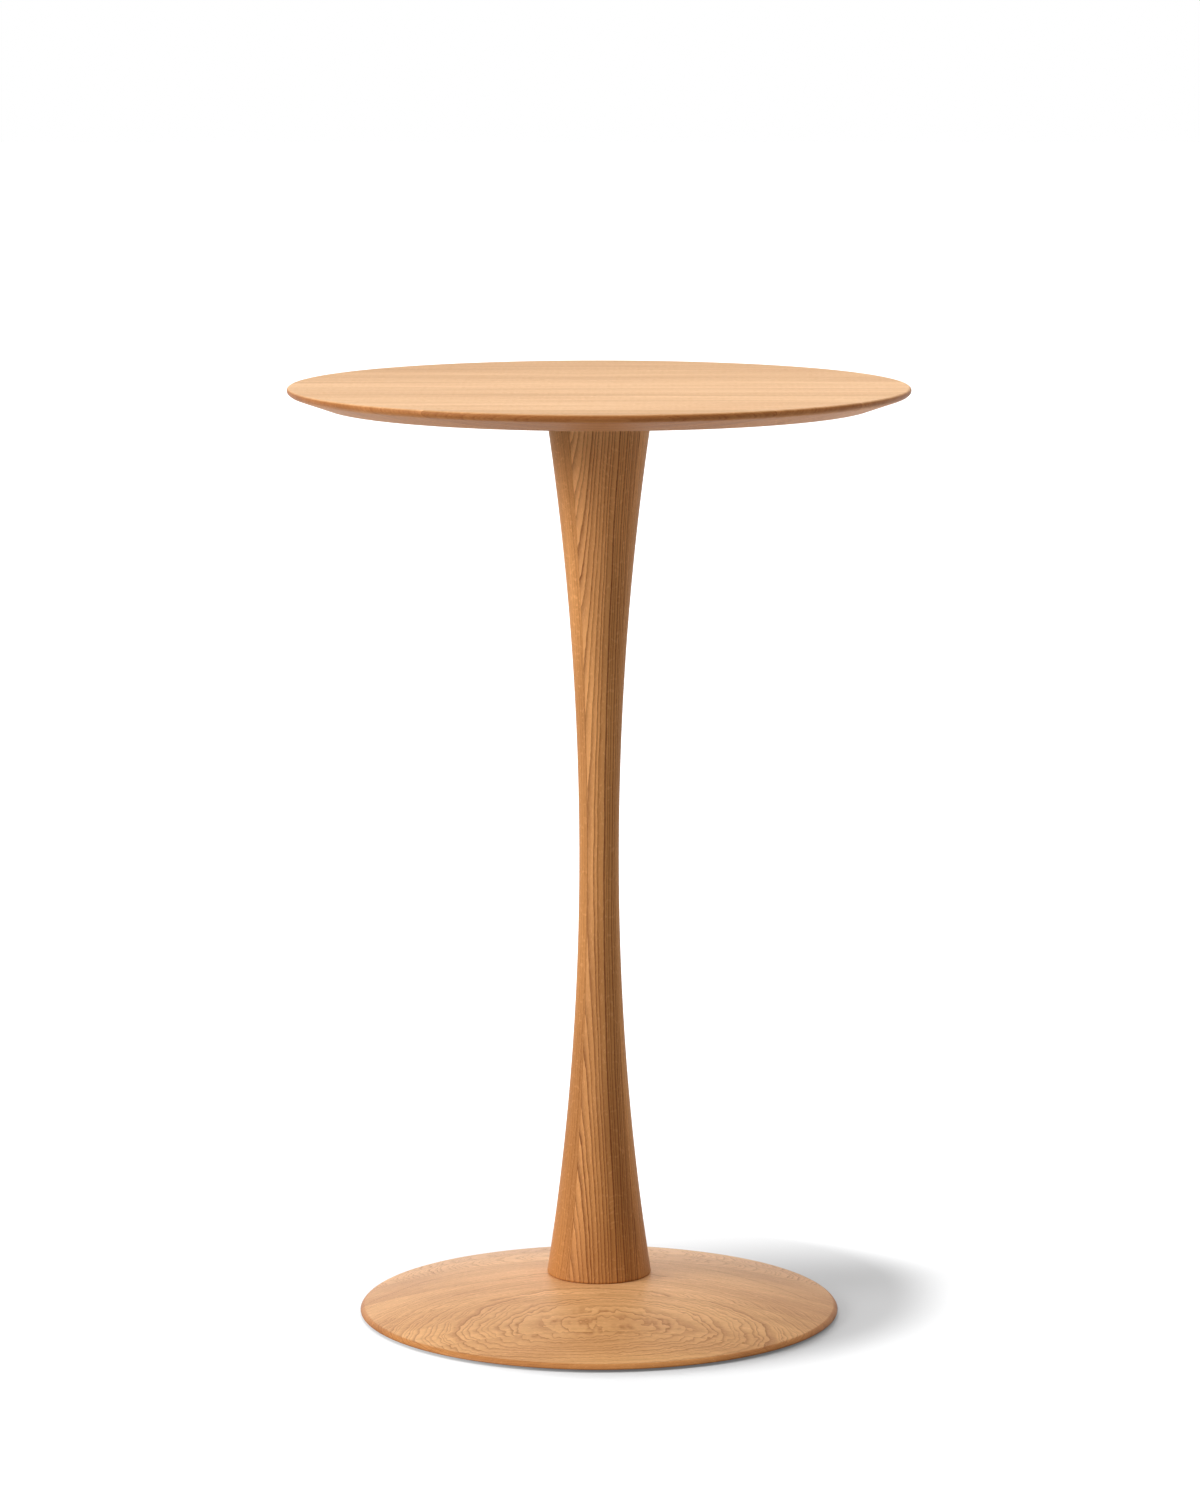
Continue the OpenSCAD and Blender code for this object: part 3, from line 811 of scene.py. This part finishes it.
rod_low, rod_high = (corner.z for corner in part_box("tie_rod"))
rod_r = reach("tie_rod")
foot_thread = (rod_low, rod_low + ROD_THREAD_FOOT)
head_thread = (rod_high - ROD_THREAD_HEAD, rod_high)
cuts = [thread(rod_r, ROD_PITCH, *ends) for ends in (foot_thread, head_thread)]
rod_line = [
    (0, rod_low), (rod_r - ROD_CHAMFER, rod_low),
    *thread_line(rod_r, ROD_PITCH, rod_low + ROD_CHAMFER, foot_thread[1]),
    *thread_line(rod_r, ROD_PITCH, head_thread[0], rod_high - ROD_CHAMFER),
    (rod_r - ROD_CHAMFER, rod_high), (0, rod_high),
]
rod_solid = turn(rod_line, THREAD_SEGMENTS, shape=lambda r, z, a: min(cut(r, z, a) for cut in cuts))
tie_rod = piece("threaded_tie_rod", rod_solid, "tie_rod")
smooth(tie_rod)
print("Tie rod:", round((rod_high - rod_low) / MM, 1), "mm,", len(tie_rod.data.polygons), "faces")

# %% Make the stems of the levelling feet
FEET = ("front_left", "front_right", "back_left", "back_right")
STEM_PITCH = 1.25 * MM
STEM_CHAMFER = 0.8 * MM
NECK = 1.2 * MM
# A corner lies on an end of the stem when it is further out than these shares of its half height
STEM_END = 0.9
SPIGOT_END = 0.99


def stem_sizes(node):
    """Axis, heights and radii of a stem, read from the corners of its node."""
    low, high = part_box(node)
    axis = (low + high) / 2
    places = [v.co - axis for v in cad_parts[node].data.vertices]
    shank_r = max(p.xy.length for p in places if p.z > STEM_END * (high.z - axis.z))
    shank_r += STEM_CHAMFER
    spigot_r = max(p.xy.length for p in places if p.z < SPIGOT_END * (low.z - axis.z))
    flange = [p.z + axis.z for p in places if p.xy.length > shank_r + MM]
    return axis, (low.z, min(flange), max(flange), high.z), (spigot_r, shank_r, (high.y - low.y) / 2)


stems = []
for foot in FEET:
    node = f"leveller_stem_{foot}"
    axis, (low, flange_low, flange_high, high), (spigot_r, shank_r, flat_r) = stem_sizes(node)
    corner_r = flat_r / math.cos(math.pi / 6)
    drop = (corner_r - flat_r) / 2
    cut = thread(shank_r, STEM_PITCH, flange_high + NECK / 2, high)
    stem_line = [
        (0, low), (spigot_r, low), (spigot_r, flange_low), (flat_r, flange_low),
        (corner_r, flange_low + drop), (corner_r, flange_high),
        *thread_line(shank_r, STEM_PITCH, flange_high, high - STEM_CHAMFER),
        (shank_r - STEM_CHAMFER, high), (0, high),
    ]

    def shape(r, z, angle):
        """The hexagon of the flange, and the thread above it."""
        if r > shank_r:
            return min(r, hexagon(2 * flat_r, angle))
        return cut(r, z, angle)

    solid = turn(stem_line, THREAD_SEGMENTS, shape=shape)
    bmesh.ops.translate(solid, verts=solid.verts, vec=(axis.x, axis.y, 0))
    stem = piece(f"threaded_stem_{foot}", solid, node, f"stem_{foot}")
    smooth(stem)
    stems.append(stem)
print("Stems:", len(stems), "with", len(stems[0].data.polygons), "faces each")

# %% [markdown]
# ## Oak
# One recipe finishes all the oak. Its steps follow the tree: rings that waver, a dark porous band
# that starts sharply each spring and fades towards autumn, open pores drawn out along the grain,
# fine fibres, rays that run out from the pith, and slow changes of colour through the log. End
# grain drinks more lacquer and is darker. A rim carries painted shade: it is darker and browner
# than the face where it turns sideways and down, and its colours follow the way the surface leans:
# 0 looks down, 0.5 sideways and 1 up. Photographs wrapped on the mesh would be quicker, but they
# stretch over a dome and show a seam at every edge.

# %% Noise, ramps and colours for the recipe
def cloud(tree, place, patch, detail=1.0, rough=0.5):
    """Smooth noise from 0 to 1, with patches of the given length, width and depth."""
    shrunk = add(tree, "VectorMath", {0: place, 1: [1 / p for p in patch]}, operation="MULTIPLY")
    return add(
        tree, "TexNoise", {"Vector": shrunk, "Scale": 1.0, "Detail": detail, "Roughness": rough}
    )


def ramp(tree, value, stops):
    """Turn a number into a grey or a colour by stops of (place, level) or (place, colour)."""
    node = add(tree, "ValToRGB", {0: value}).node
    band = node.color_ramp.elements
    band.remove(band[1])
    band[0].position = stops[0][0]
    for place, level in stops:
        stop = band[0] if place == stops[0][0] else band.new(place)
        stop.color = (*level, 1) if isinstance(level, tuple) else (level, level, level, 1)
    return node.outputs["Color"]


def tint(tree, share, under, over, mode="MIX"):
    """Lay one colour over another."""
    return add(
        tree, "Mix", {0: share, 6: under, 7: over}, outlet=2, data_type="RGBA", blend_type=mode
    )


def colour(red, green, blue):
    """A colour as it is seen on a screen, from 0 to 255, in the shader's own numbers."""
    shares = [c / 255 for c in (red, green, blue)]
    linear = [c / 12.92 if c < 0.04045 else ((c + 0.055) / 1.055) ** 2.4 for c in shares]
    return (*linear, 1)


def blank(name):
    """A new material without nodes, and its tree."""
    finish = bpy.data.materials.new(name)
    finish.use_nodes = True
    finish.node_tree.nodes.clear()
    return finish, finish.node_tree


# %% The recipe for oak
# A year from spring to autumn as stops of darkness, how often the years' width changes and how many
# years that moves a line, and what the faintest year keeps of its darkness and late wood of pores
EARLY_WOOD = ((0, 1), (0.08, 0.95), (0.3, 0.5), (0.55, 0.15), (0.85, 0), (0.95, 0), (1, 1))
CHANGES_PER_YEAR = 0.45
YEARS_SHIFTED = 1.6
FAINTEST_YEAR = 0.5
LATE_PORES = 0.1

# Length, width and depth of each feature in millimetres, and the stops that draw it from noise.
# The rays' angles are measured along a circle
RAY_CIRCLE = 100
RAY_PATCH = (5, 0.5, 9)
RAY_STOPS = ((0.58, 0), (0.70, 1))
VESSEL_PATCH = (7, 0.4, 0.4)
VESSEL_STOPS = ((0.56, 0), (0.66, 1))
FIBRE_PATCH = (60, 0.9, 0.9)
SLOW_PATCH = (260, 60, 60)
SLOW_STOPS = ((0.3, 0), (0.7, 0.35))
# How far a surface faces along the fibres where its end grain starts and is complete, and how far
# from a joint its line starts to fade and is gone, in millimetres
END_GRAIN = (0.55, 0.95)
SEAM_EDGE = (0.1, 0.5)

# How far each feature darkens the wood, and how red, green and blue follow a shade
FIBRE_SHADE = 0.16
PORE_SHADE = -0.4
END_SHADE = -0.2
SEAM_SHADE = -0.3
DEEPENING = (0.85, 1.1, 1.55)

# How far pores and fibres roughen the lacquer, and how they stand in its relief
PORE_ROUGH = 0.25
FIBRE_ROUGH = 0.06
PORE_RELIEF = -1.0
FIBRE_RELIEF = 0.15
RELIEF_STRENGTH = 0.35
RELIEF_HEIGHT = 0.12 * MM

# Painted shade of a rim, by the way its surface leans: darker and browner where it faces sideways
# and down
TOP_RIM_SHADE = (
    (0.0, (0.80, 0.54, 0.27)), (0.06, (0.79, 0.53, 0.265)), (0.22, (0.60, 0.395, 0.23)),
    (0.72, (0.60, 0.395, 0.23)), (0.92, (0.9, 0.83, 0.76)), (0.98, 1.0),
)
FOOT_RIM_SHADE = (
    (0.0, (0.85, 0.80, 0.75)), (0.3, (0.60, 0.42, 0.27)), (0.6, (0.66, 0.48, 0.31)),
    (0.94, (0.80, 0.65, 0.47)), (0.976, 1.0),
)


def oak(name, pale, dark, fibre_axis, waves, lines, banding, flecks, dullness, shine, rim=None):
    """The finish of one slot's oak. fibre_axis is 0 for boards along X and 2 for upright staves.

    waves bend the rings, each by a patch and a swing. lines are the contrast and thinness of the
    rings, and banding is the patch and depth of broad streaks.
    """
    contrast, thinness = lines
    finish, tree = blank(name)
    log, joint, board = (
        add(tree, "Attribute", outlet="Vector", attribute_name=fact)
        for fact in ("log", "joint", "board")
    )
    along, across, through = parts(tree, log)
    year_width, tone, figure = parts(tree, board)

    flat = add(tree, "VectorMath", {0: log, 1: (0, 1, 1)}, operation="MULTIPLY")
    depth = add(tree, "VectorMath", {0: flat}, outlet="Value", operation="LENGTH")
    for patch, swing in waves:
        wave = maths(tree, "MULTIPLY_ADD", cloud(tree, log, patch), swing, -swing / 2)
        depth = maths(tree, "ADD", depth, wave)
    years = maths(tree, "DIVIDE", depth, year_width)
    uneven = add(
        tree, "TexNoise", {"W": years, "Scale": CHANGES_PER_YEAR, "Detail": 0.0},
        noise_dimensions="1D",
    )
    years = maths(tree, "MULTIPLY_ADD", uneven, YEARS_SHIFTED, years)
    this_year = maths(tree, "FLOOR", years)
    chance = add(tree, "TexWhiteNoise", {"W": this_year}, noise_dimensions="1D")
    early = ramp(tree, maths(tree, "FRACT", years), EARLY_WOOD)
    early = maths(tree, "POWER", early, thinness)
    strength = maths(tree, "MULTIPLY_ADD", chance, 1 - FAINTEST_YEAR, FAINTEST_YEAR)
    early = maths(tree, "MULTIPLY", early, strength)

    around = maths(tree, "MULTIPLY", maths(tree, "ARCTAN2", through, across), RAY_CIRCLE)
    ray_place = add(tree, "CombineXYZ", {0: along, 1: around, 2: depth})
    rays = ramp(tree, cloud(tree, ray_place, RAY_PATCH), RAY_STOPS)
    vessels = ramp(tree, cloud(tree, log, VESSEL_PATCH, detail=0.0), VESSEL_STOPS)
    open_share = maths(tree, "MULTIPLY_ADD", early, 1 - LATE_PORES, LATE_PORES)
    pores = maths(tree, "MULTIPLY", vessels, open_share)
    fibres = cloud(tree, log, FIBRE_PATCH, detail=3.0, rough=0.6)
    band_patch, band_depth = banding
    streaks = cloud(tree, log, band_patch, detail=3.0, rough=0.65)
    slow = cloud(tree, log, SLOW_PATCH)

    normal = parts(tree, add(tree, "TexCoord", outlet="Normal"))
    facing = maths(tree, "ABSOLUTE", normal[fibre_axis])
    end = add(
        tree, "MapRange", {0: facing, 1: END_GRAIN[0], 2: END_GRAIN[1], 3: 0.0, 4: 1.0},
        interpolation_type="SMOOTHSTEP",
    )
    ahead, behind, _ = parts(tree, joint)
    nearest = maths(tree, "MINIMUM", ahead, behind)
    seam = add(tree, "MapRange", {0: nearest, 1: SEAM_EDGE[0], 2: SEAM_EDGE[1], 3: 1.0, 4: 0.0})

    ground = tint(tree, ramp(tree, slow, SLOW_STOPS), pale, dark)
    drawn = maths(tree, "MULTIPLY", maths(tree, "MULTIPLY", early, figure), contrast)
    ground = tint(tree, drawn, ground, dark)
    shade = maths(tree, "MULTIPLY_ADD", fibres, FIBRE_SHADE, 1 - FIBRE_SHADE / 2)
    streaks = maths(tree, "MULTIPLY_ADD", streaks, band_depth, 1 - band_depth / 2)
    shade = maths(tree, "MULTIPLY", shade, streaks)
    # The tone is each board's own tone, and for the column and the foot it also carries painted
    # light and shade
    shade = maths(tree, "MULTIPLY", shade, tone)
    for mask, change in ((pores, PORE_SHADE), (end, END_SHADE), (seam, SEAM_SHADE), (rays, flecks)):
        shade = maths(tree, "MULTIPLY", shade, maths(tree, "MULTIPLY_ADD", mask, change, 1.0))
    deep = [maths(tree, "POWER", shade, power) for power in DEEPENING]
    final = tint(tree, 1.0, ground, add(tree, "CombineColor", enumerate(deep)), "MULTIPLY")
    # Painted shade on the rim: darker and browner where it faces sideways and down
    if rim:
        lean = maths(tree, "MULTIPLY_ADD", normal[2], 0.5, 0.5)
        final = tint(tree, 1.0, final, ramp(tree, lean, rim), "MULTIPLY")

    roughness = maths(tree, "MULTIPLY_ADD", pores, PORE_ROUGH, dullness)
    roughness = maths(tree, "MULTIPLY_ADD", fibres, FIBRE_ROUGH, roughness)
    relief = maths(tree, "MULTIPLY", fibres, FIBRE_RELIEF)
    relief = maths(tree, "MULTIPLY_ADD", pores, PORE_RELIEF, relief)
    bump = add(
        tree, "Bump", {"Height": relief, "Strength": RELIEF_STRENGTH, "Distance": RELIEF_HEIGHT}
    )
    wood = add(tree, "BsdfPrincipled", {
        "Base Color": final, "Roughness": roughness, "Normal": bump, "Specular IOR Level": shine,
    })
    add(tree, "OutputMaterial", {0: wood})
    return finish


# %% Finish the oak
# In millimetres: a wave is the length, width and depth of a patch and its swing, a band is a patch
TOP_WAVES = (((300, 60, 60), 5.0), ((90, 16, 16), 0.8), ((30, 4, 4), 0.25))
COLUMN_WAVES = (((220, 60, 60), 5.0), ((60, 14, 14), 1.4), ((16, 3, 3), 0.9))
FOOT_WAVES = (((200, 60, 60), 5.0), ((65, 20, 40), 2.2), ((9, 20, 26), 1.8), ((16, 4, 8), 0.3))
LONG_BANDS = (420, 12, 12)
SHORT_BANDS = (80, 7, 14)

top_oak = oak(
    "lacquered oak of the top", pale=colour(232, 186, 136), dark=colour(200, 146, 96),
    fibre_axis=0, waves=TOP_WAVES, lines=(0.75, 1.0), banding=(LONG_BANDS, 0.7),
    flecks=0.15, dullness=0.45, shine=0.15, rim=TOP_RIM_SHADE,
)
column_oak = oak(
    "lacquered oak of the column", pale=colour(226, 160, 97), dark=colour(112, 58, 24),
    fibre_axis=2, waves=COLUMN_WAVES, lines=(0.9, 1.0), banding=(LONG_BANDS, 0.36),
    flecks=0.2, dullness=0.5, shine=0.1,
)
foot_oak = oak(
    "lacquered oak of the foot", pale=colour(238, 184, 125), dark=colour(166, 101, 52),
    fibre_axis=0, waves=FOOT_WAVES, lines=(0.64, 1.6), banding=(SHORT_BANDS, 0.44),
    flecks=0.15, dullness=0.45, shine=0.22, rim=FOOT_RIM_SHADE,
)
for wood, finish in ((top_boards, top_oak), (staves, column_oak), (base_boards, foot_oak)):
    for made in wood:
        made.data.materials.append(finish)
print("Oak on", len(top_boards) + len(staves) + len(base_boards), "pieces")

# %% [markdown]
# ## Steel, brass, nylon and dowels
# The fittings keep their frame meshes, which are right, and get finishes of their own. Powder coat
# is never quite flat: it dries to a fine orange peel. Zinc plate is bright, with a faint cloudy
# tint. Turned brass keeps the marks of the lathe in rings, moulded nylon has a fine grain, and a
# beech dowel shows short dark flecks along its length.

# %% The recipes for the fittings
FINER = 6
FITTING_BUMP = 0.5


def fitting(name, patch, low, high, roughness, relief, metal=0.0):
    """A fitting's finish: two colours and two roughnesses in patches, and a fine relief.

    The patch and the relief are in millimetres.
    """
    finish, tree = blank(name)
    spot = add(tree, "TexCoord", outlet="Object")
    coarse = cloud(tree, spot, [p * MM for p in patch], detail=3.0)
    fine = cloud(tree, spot, [p * MM / FINER for p in patch], detail=2.0)
    shade = tint(tree, coarse, low, high)
    dull = maths(tree, "MULTIPLY_ADD", fine, roughness[1] - roughness[0], roughness[0])
    bump = add(tree, "Bump", {"Height": fine, "Strength": FITTING_BUMP, "Distance": relief * MM})
    coat = add(tree, "BsdfPrincipled", {
        "Base Color": shade, "Roughness": dull, "Normal": bump, "Metallic": metal,
    })
    add(tree, "OutputMaterial", {0: coat})
    return finish


powder_coat = fitting(
    "black powder coat", (3, 3, 3), colour(36, 37, 39), colour(48, 49, 51), (0.38, 0.62), 0.05
)
zinc_plate = fitting(
    "bright zinc plate", (4, 4, 4), colour(196, 200, 204), colour(214, 214, 208), (0.2, 0.42), 0.01,
    metal=1.0,
)
turned_brass = fitting(
    "turned brass", (40, 40, 0.9), colour(205, 172, 104), colour(222, 190, 122), (0.22, 0.4), 0.02,
    metal=1.0,
)
moulded_nylon = fitting(
    "moulded nylon", (1.5, 1.5, 1.5), colour(50, 50, 54), colour(60, 60, 64), (0.5, 0.72), 0.03
)
beech = fitting(
    "beech dowel", (0.8, 0.8, 7), colour(196, 150, 104), colour(228, 192, 148), (0.6, 0.75), 0.03
)

# %% Finish the fittings
FITTINGS = {
    "top_plate": powder_coat, "top_plate_hub": powder_coat, "ballast_plate": powder_coat,
    "top_plate_screws": zinc_plate, "top_plate_washers": zinc_plate, "top_pins": zinc_plate,
    "clamp_washer": zinc_plate, "spring_washer": zinc_plate, "tie_nut": zinc_plate,
    "ballast_screws": zinc_plate, "top_inserts": turned_brass, "foot_inserts": turned_brass,
    "foot_dowels": beech,
}
for foot in FEET:
    FITTINGS[f"leveller_pad_{foot}"] = moulded_nylon
for node, finish in FITTINGS.items():
    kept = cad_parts[node]
    for place in kept.material_slots:
        place.material = finish
for made in (tie_rod, *stems):
    made.data.materials.append(zinc_plate)
print("Fittings:", len(FITTINGS) + 1 + len(stems))
